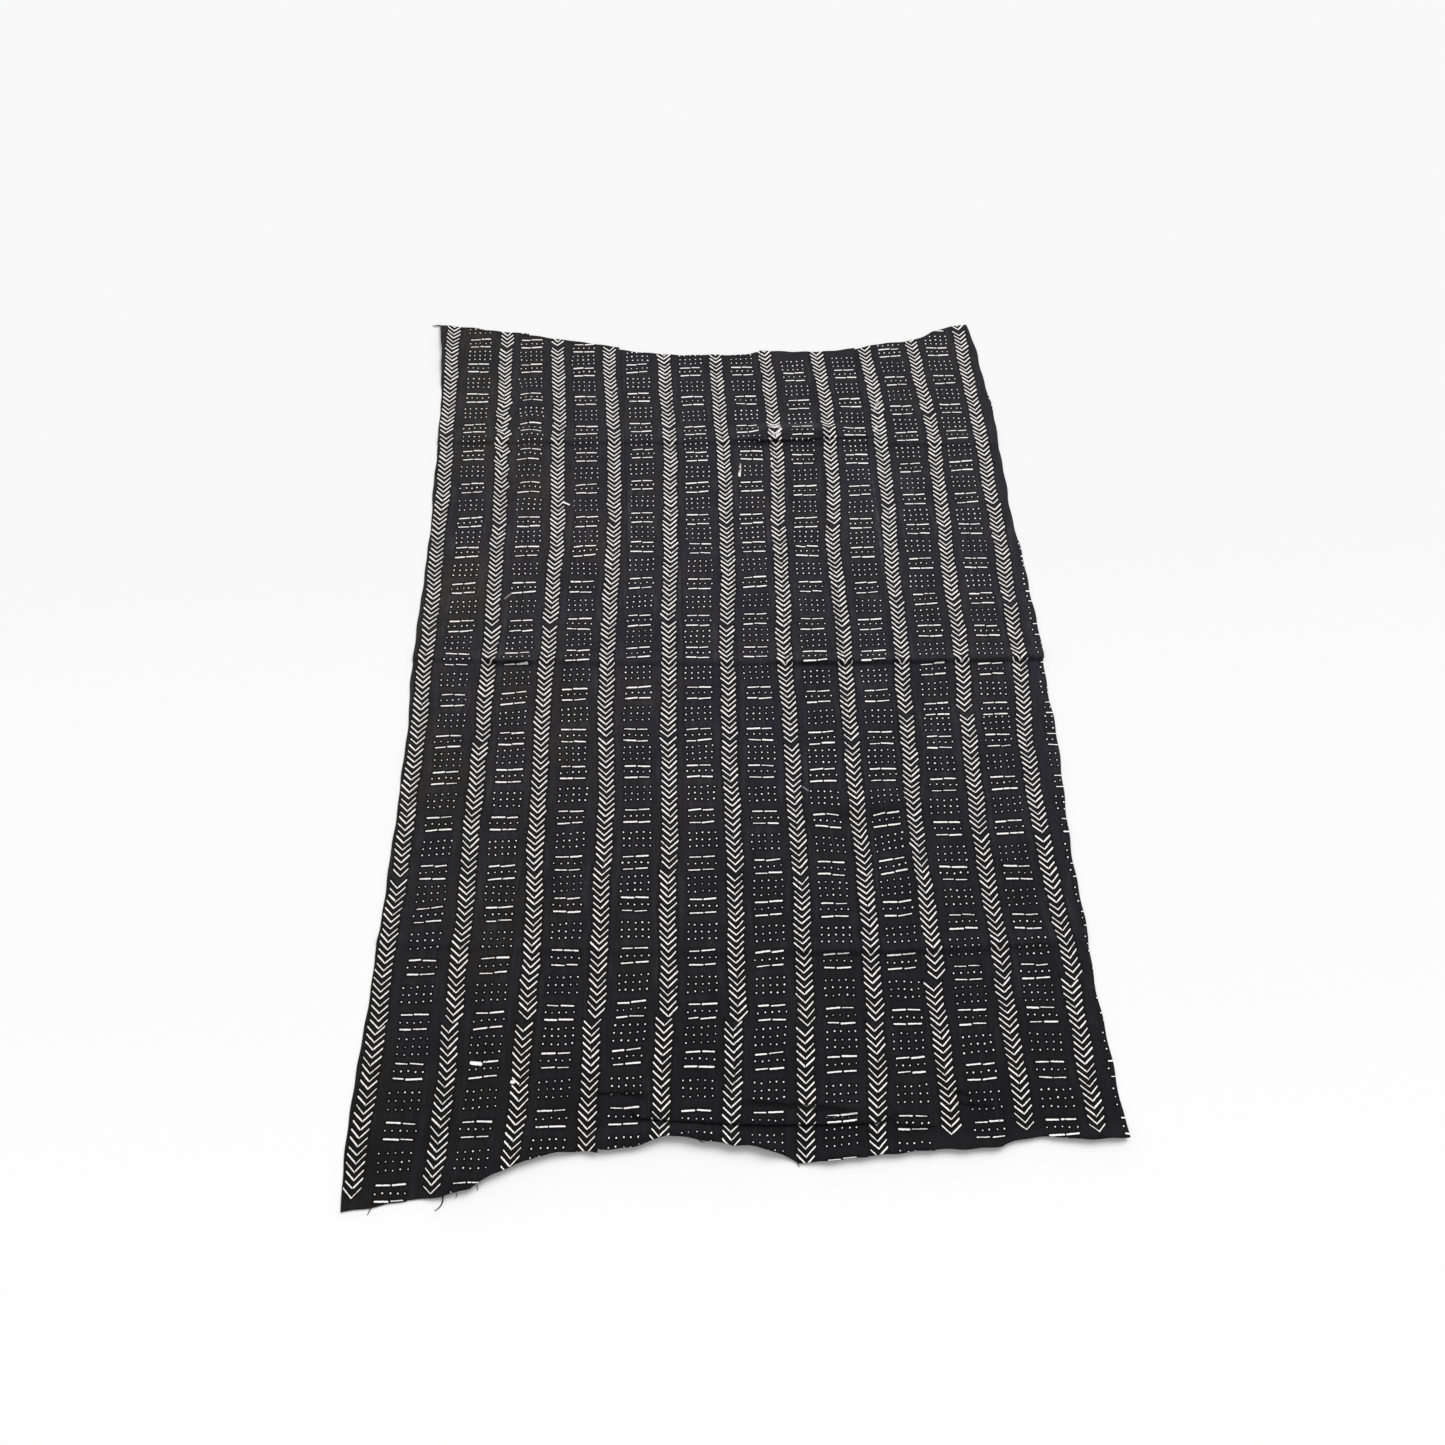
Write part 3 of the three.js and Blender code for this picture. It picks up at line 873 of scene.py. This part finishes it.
# Paste that ran, dripped or was smudged while it was wet
strokes = table(
    "start end width strength",
    ((-278, 357), (-268, 351), 3.0, 1.0),
    ((46, 408), (46, 414), 4.0, 1.0),
    ((48, 414), (49, 436), 2.0, 0.6),
    ((-373, 147), (-363, 157), 3.0, 0.2),
    ((118, -231), (126, -238), 1.5, 0.25),
    ((109, 528), (126, 524), 6.0, 0.4),
    ((109, 520), (127, 516), 6.0, 0.4),
    ((107, 508), (116, 496), 1.6, 0.8),
    ((130, 511), (119, 496), 2.4, 0.9),
    ((107, 446), (109, 447), 3.6, 0.9),
    ((108, 434), (110, 435), 3.4, 0.9),
    ((112, 417), (113, 419), 3.2, 0.9),
    ((-375, -638), (-362, -640), 4.6, 1.0),
    ((-317, -666), (-315, -666), 4.4, 1.0),
    ((312, 560), (322, 584), 5.0, 0.25),
    ((308, 510), (313, 520), 5.0, 0.3),
)

# Lines where the dye wore thin along old folds
wornLines = table(
    "x y width length strength",
    (-157, 325, 5, 90, 0.8),
    (-70, 170, 4, 60, 0.5),
    (290, 285, 5, 160, 0.9),
    (360, 365, 6, 45, 0.6),
    (338, -150, 5, 30, 0.8),
    (-245, -385, 5, 100, 0.5),
    (-365, -150, 4, 40, 0.6),
    (-78, -410, 4, 60, 0.4),
    (445, 190, 5, 50, 0.5),
    (-345, -190, 4, 60, 0.4),
)

# How ragged the edge of a stroke is, and between which distances the edges of both fade
strokeRagged = 1.6
strokeEdge = (0.35, -0.35)
wornEdge = (1.3, 0.2)


def strokeCover(put, across, along, ragged):
    # how much paste the strokes leave at a place
    total = None
    for row in strokes:
        startX, startY = row["start"]
        runX, runY = row["end"][0] - startX, row["end"][1] - startY
        long = math.hypot(runX, runY)
        dx, dy = put("-", across, startX), put("-", along, startY)
        reach = put("*+", dx, runX / long, put("*", dy, runY / long))
        beside = put("*+", dx, -runY / long, put("*", dy, runX / long))
        past = put("-", put("ABSOLUTE", put("-", reach, long / 2)), long / 2)
        gap = distance(put, beside, put("MAXIMUM", past, 0))
        gap = strayed(put, put("-", gap, row["width"] / 2), ragged, strokeRagged)
        shade = faded(put, gap, strokeEdge, row["strength"])
        total = shade if total is None else put("MAXIMUM", total, shade)
    return total


def wornShare(put, across, along, broken):
    # soft-edged worn lines, broken up by a texture
    total = None
    for row in wornLines:
        dx = put("/", put("-", across, row["x"]), row["width"])
        dy = put("/", put("-", along, row["y"]), row["length"])
        gap = distance(put, dx, dy)
        shade = faded(put, gap, wornEdge, row["strength"])
        total = shade if total is None else put("MAXIMUM", total, shade)
    return put("*", total, broken)


# Noises in the cloth: scale, detail and roughness, from and to which value each is spread, and
# over what
noises = {
    "threads": [(1.0, 2.0)],
    "blotches": [(5.5, 5.0, 0.6), (0.38, 0.62, 0, 1)],
    "depth": [(9.0, 6.0, 0.65), (0.42, 0.7, 0, 0.75)],
    "rubbed": [(1.0, 5.0, 0.7), (0.5, 0.78, 0, 0.5)],
    "grain": [(160.0, 3.0), (0.35, 0.62, 0.1, 1)],
    "ragged": [(330.0, 2.0)],
    "fading": [(34.0, 4.0, 0.6), (0.3, 0.46, 0.93, 1)],
    "crumple": [(42.0, 4.0, 0.55)],
}

# Slow changes over the cloth: from and to which place in metres, and what is given there
slowChanges = {
    "leftToRight": (-0.5, 0.0, -0.4, 0.45),
    "nearToMiddle": (-0.75, 0.05, dyedCotton["nearPaintedSheen"], dyedCotton["middlePaintedSheen"]),
    "middleToFar": (0.3, 0.8, 1, dyedCotton["farPaintedSheen"] / dyedCotton["middlePaintedSheen"]),
    "thinning": (-0.75, 0.65, marks["nearThinning"], -marks["farSpread"]),
    "creamTone": (-0.55, -0.1, 0.8, 0.1),
}


def noise(put, name, place):
    settings, *spread = noises[name]
    value = put("TexNoise", place, named=dict(zip(("Scale", "Detail", "Roughness"), settings)))
    return put("MapRange", value, *spread[0]) if spread else value


def newMaterial(name):
    material = bpy.data.materials.new(name)
    material.use_nodes = True
    material.node_tree.nodes.clear()
    return material, functools.partial(add, material.node_tree)


def dyedCottonMaterial():
    material, put = newMaterial("dyed_strip_cotton")
    place = put("TexCoord", out=3)
    metres = put("SeparateXYZ", place, out=0), put("SeparateXYZ", place, out=1)
    across, along = [put("*", value, 1000) for value in metres]
    threads = put("UVMap", uv_map="threads")
    threadX, threadY = [put("SeparateXYZ", threads, out=i) for i in (0, 1)]

    # plain weave: every other crossing has the warp on top
    warp = put("/", threadX, dyedCotton["warpPitch"])
    weft = put("/", threadY, dyedCotton["weftPitch"])
    warpWave = put("SINE", put("*", warp, math.pi))
    weftWave = put("SINE", put("*", weft, math.pi))
    crossing = put("*", warpWave, weftWave)
    weave = put("ABSOLUTE", crossing)
    uneven = [put("CombineXYZ", put("*", warp, perWarp), put("*", weft, perWeft), seed)
              for perWarp, perWeft, seed in dyedCotton["unevenThreads"]]
    slubs, picks = [noise(put, "threads", spot) for spot in uneven]
    threadTone = put("*+", put("+", slubs, picks), *dyedCotton["threadTone"])

    # blotches of dye, browner to the left and bluer to the right
    leftToRight = put("MapRange", metres[0], *slowChanges["leftToRight"])
    hue = limited(put, put("+", noise(put, "blotches", place), leftToRight), 0, 1)
    dyeAndPaintedSheen = put("MixRGB", hue, toLinear(dyedCotton["brownBlack"]), toLinear(dyedCotton["blueBlack"]))
    dyeAndPaintedSheen = put("MixRGB", noise(put, "depth", place), dyeAndPaintedSheen, toLinear(dyedCotton["deepBlack"]))
    runs = [put("*", at, run) for at, run in zip((across, along), dyedCotton["rubbedRuns"])]
    rubbed = noise(put, "rubbed", put("CombineXYZ", *runs, 0))
    worn = put("MAXIMUM", rubbed, wornShare(put, across, along, noise(put, "grain", place)))
    dyeAndPaintedSheen = put("MixRGB", worn, dyeAndPaintedSheen, toLinear(dyedCotton["worn"]))
    # painted sheen: darker at the near end and lighter toward the middle and the far end, times the
    # threads' own tone
    nearer, farther = [put("MapRange", metres[1], *slowChanges[name])
                       for name in ("nearToMiddle", "middleToFar")]
    lightness = put("*", put("*", nearer, farther), threadTone)
    gap = put("MINIMUM", chevronMarks(put), blockMarks(put))
    beside = faded(put, gap, dyedCotton["besideReach"], 1, dyedCotton["besideMarks"])
    dyeAndPaintedSheen = put("MixRGB", 1.0, dyeAndPaintedSheen, put("*", lightness, beside), blend_type="MULTIPLY")

    # the cream marks, their edges broken by the threads
    gap = put("+", gap, put("MapRange", metres[1], *slowChanges["thinning"]))
    ragged = noise(put, "ragged", place)
    gap = strayed(put, gap, ragged, marks["ragged"])
    gap = put("*+", weave, -marks["threadFullness"], gap)
    covered = faded(put, gap, marks["edge"], 1)
    covered = put("*", covered, noise(put, "fading", place))
    covered = put("MAXIMUM", covered, strokeCover(put, across, along, ragged))
    creamTone = put("MapRange", metres[0], *slowChanges["creamTone"])
    cream = put("MixRGB", creamTone, toLinear(dyedCotton["cream"]), toLinear(dyedCotton["creamAged"]))
    colour = put("MixRGB", covered, dyeAndPaintedSheen, cream)
    # painted shade: the cloth under the lips of the tucks and right in front of them is darkened toward
    # black
    tuckShade = put("Attribute", attribute_name="tuckShade", out=2)
    shaded = put("MixRGB", dyedCotton["paintedTuckShade"], toLinear("#000000"), colour)
    colour = put("MixRGB", tuckShade, colour, shaded)

    # thread relief, and the fine crumple that a stiff dyed cotton keeps
    crumple = noise(put, "crumple", place)
    crumpleHeight = dyedCotton["crumpleHeight"] * mm
    normal = put("Bump", named={"Height": crumple, "Distance": crumpleHeight, "Strength": 0.5})
    relief = put("*+", put("+", slubs, picks), dyedCotton["unevenRelief"], weave)
    threadHeight = dyedCotton["threadRelief"] * mm
    normal = put("Bump", named={
        "Height": relief, "Distance": threadHeight, "Strength": 0.8, "Normal": normal})
    shader = put("BsdfPrincipled", named={
        "Base Color": colour,
        "Roughness": dyedCotton["roughness"],
        "Specular IOR Level": 0.12,
        "Sheen Weight": 0.06,
        "Sheen Roughness": 0.6,
        "Normal": normal,
    })
    put("OutputMaterial", shader)
    return material


def yarnMaterial():
    # Hand-spun cotton sewing yarn, dyed with the cloth: matt black with a loose twist
    material, put = newMaterial("spun_cotton_yarn")
    place = put("TexCoord", out=3)
    fibres = put("TexNoise", place, named={"Scale": 900.0, "Detail": 2.0})
    colour = put("MixRGB", fibres, toLinear("#0D0D10"), toLinear("#1C1B1A"))
    normal = put("Bump", named={"Height": fibres, "Distance": 0.2 * mm, "Strength": 0.7})
    put("OutputMaterial", put("BsdfPrincipled", named={
        "Base Color": colour, "Roughness": 0.95, "Specular IOR Level": 0.2, "Normal": normal}))
    return material


def tubes(paths, radii, sides):
    # closed tubes along paths, an array of tubes × points × 3, radii per point
    count, points, _ = paths.shape
    forward = np.gradient(paths, axis=1)
    forward /= np.linalg.norm(forward, axis=-1, keepdims=True)
    up = np.array([0.0, 0.0, 1.0])
    side = np.cross(forward, up)
    side /= np.maximum(np.linalg.norm(side, axis=-1, keepdims=True), 1e-9)
    over = np.cross(side, forward)
    turn = 2 * np.pi * np.arange(sides) / sides
    ring = (side[:, :, None] * np.cos(turn)[None, None, :, None]
            + over[:, :, None] * np.sin(turn)[None, None, :, None])
    vertices = paths[:, :, None] + ring * radii[..., None, None]
    number = np.arange(count * points * sides).reshape(count, points, sides)
    nextSide = np.roll(number, -1, axis=2)
    quads = np.stack([number[:, :-1], nextSide[:, :-1], nextSide[:, 1:], number[:, 1:]], axis=-1)
    return vertices.reshape(-1, 3), quads.reshape(-1, 4), number


def tubeObject(name, paths, radii, sides, material):
    vertices, quads, number = tubes(paths, radii, sides)
    caps = [ring[::-1].tolist() for ring in number[:, 0]] + [ring.tolist() for ring in number[:, -1]]
    return meshObject(name, (vertices * mm).tolist(), quads.tolist() + caps, {}, material)


sewing = {
    "pitch": 5.4,  # between two whip stitches
    "reach": 2.7,  # into the cloth on either side of a seam
    "slant": 1.5,
    "yarn": 0.5,
    "arch": 0.05,  # how far a stitch stands over the cloth
    "dive": 0.9,  # how far its ends go into it
    "points": 6,
    "sides": 5,
    "margin": 3,  # no stitch is nearer to an end of the seam
    "placeSpread": 0.5,
    "reachSpread": 0.12,
    "seed": 40,
}


def seamStitches(index, material):
    random = np.random.default_rng(sewing["seed"] + index)
    near = max(strips[index - 1]["near"][2], strips[index]["near"][0]) + sewing["margin"]
    far = min(strips[index - 1]["far"][2], strips[index]["far"][0]) - sewing["margin"]
    count = int((far - near) / sewing["pitch"])
    stray = random.normal(0, sewing["placeSpread"], count)
    y = near + (np.arange(count) + 0.5) * (far - near) / count + stray
    t = np.linspace(-1, 1, sewing["points"])
    reach = sewing["reach"] * (1 + random.normal(0, sewing["reachSpread"], count))
    py = y[:, None] + sewing["slant"] * t
    px = seamAt(index, py) + reach[:, None] * t
    point = clothPoint(px, py)
    arch = sewing["arch"] * (1 - t ** 4) + 0.5 * cloth["seamThickness"] - sewing["dive"] * t ** 8
    point[..., 2] += arch
    radii = np.full(point.shape[:2], 0.5 * sewing["yarn"])
    return tubeObject(f"stitches_{index:02d}", point, radii, sewing["sides"], material)


# Loose ends of yarn, each a few points from the cloth outwards, with its thickness there
yarnEnds = table(
    "points from to",
    ([(-534, 817), (-540, 821), (-547, 824), (-553, 823), (-558, 826)], 3.6, 0.9),
    ([(-494, -812), (-493, -817), (-495, -822), (-498, -828)], 2.2, 0.8),
    ([(-402, -806), (-400, -812), (-401, -818), (-405, -823), (-410, -826)], 2.4, 0.8),
    ([(-384, -804), (-382, -808), (-384, -812)], 1.0, 0.5),
    ([(-357, -796), (-355, -801), (-356, -804)], 1.0, 0.5),
    ([(73, -782), (72, -787), (74, -790)], 1.2, 0.5),
    ([(-62, -748), (-58, -753), (-52, -754)], 1.6, 0.7),
)
yarnEndShape = {"points": 14, "sides": 7, "lift": 1.2, "offFloor": 0.1}


def yarnEnd(row):
    spots = np.array(row["points"], float)
    at = np.linspace(0, len(spots) - 1, yarnEndShape["points"])
    steps = np.arange(len(spots))
    x, y = [curveThrough(steps, spots[:, k], at) for k in (0, 1)]
    size = np.linspace(row["from"], row["to"], len(at))
    z = 0.5 * size + yarnEndShape["lift"] * (1 - at / at[-1]) + yarnEndShape["offFloor"]
    return np.stack([x, y, z], axis=-1), 0.5 * size


def looseYarn(material):
    made = [yarnEnd(row) for row in yarnEnds]
    paths = np.stack([path for path, _ in made])
    radii = np.stack([radius for _, radius in made])
    return tubeObject("yarn_ends", paths, radii, yarnEndShape["sides"], material)


studio = {
    "floorSize": 14.0,
    "floorLevel": -0.0004,
    "paintedFloorFalloff": (-1.0, 0.3),  # painted falloff of light: from and to where the near tone turns into the darker far one
    "nearFloor": "#E8E8E8",
    "farFloor": "#E3E3E3",
    "sunFrom": (1.7, 2.3, 3.2),
    "sunSpread": 38,
    "sunStrength": 2.45,
    "skyStrength": 0.65,
}


def stageFloor():
    # A seamless white sweep: matt painted board, so the shadows stay soft and grey
    half = studio["floorSize"] / 2
    corners = [(half * sideX, half * sideY, studio["floorLevel"])
               for sideX, sideY in ((-1, -1), (1, -1), (1, 1), (-1, 1))]
    material, put = newMaterial("matt_white_board")
    # painted shade: the board is painted a little darker toward the far side, in place of light that falls
    # off
    far = put("MapRange", put("SeparateXYZ", put("TexCoord", out=3), out=1), *studio["paintedFloorFalloff"], 0, 1)
    colour = put("MixRGB", far, toLinear(studio["nearFloor"]), toLinear(studio["farFloor"]))
    put("OutputMaterial", put("BsdfPrincipled", named={
        "Base Color": colour, "Roughness": 0.95, "Specular IOR Level": 0.1}))
    meshObject("floor", corners, [(0, 1, 2, 3)], {}, material)


def studioLight():
    lamp = bpy.data.lights.new("window", "SUN")
    lamp.angle = math.radians(studio["sunSpread"])
    lamp.energy = studio["sunStrength"]
    window = placed("window", lamp)
    window.location = studio["sunFrom"]
    window.rotation_euler = (-window.location).to_track_quat("-Z", "Y").to_euler()
    world = bpy.data.worlds.new("soft_room")
    world.use_nodes = True
    sky = world.node_tree.nodes["Background"]
    sky.inputs["Color"].default_value = (1, 1, 1, 1)
    sky.inputs["Strength"].default_value = studio["skyStrength"]
    bpy.context.scene.world = world


camera = {
    "place": (-0.036, -0.963, 1.579),
    "tiltFromDown": 28.4,
    "turn": -2.1,
    "lens": 27.405,
    "sensor": 36.0,
}


def photoCamera():
    lens = bpy.data.cameras.new("camera")
    lens.lens = camera["lens"]
    lens.sensor_width = camera["sensor"]
    made = placed("camera", lens)
    made.location = camera["place"]
    made.rotation_euler = (math.radians(camera["tiltFromDown"]), 0, math.radians(camera["turn"]))
    bpy.context.scene.camera = made


photoCamera()
studioLight()
stageFloor()
bpy.context.scene.view_settings.view_transform = "Standard"  # the board stays white
print("stage: camera, light and floor")

cotton = dyedCottonMaterial()
print("stage: dyed cotton", len(cotton.node_tree.nodes), "nodes")
for index, strip in enumerate(strips):
    sheet = clothStrip(index, cotton)
    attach(sheet, "root")
    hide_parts(strip["name"])
print("stage: strips")

yarn = yarnMaterial()
for index in range(1, len(seams) - 1):
    stitches = seamStitches(index, yarn)
    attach(stitches, "root")
ends = looseYarn(yarn)
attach(ends, "root")
print("stage: sewing and loose yarn")
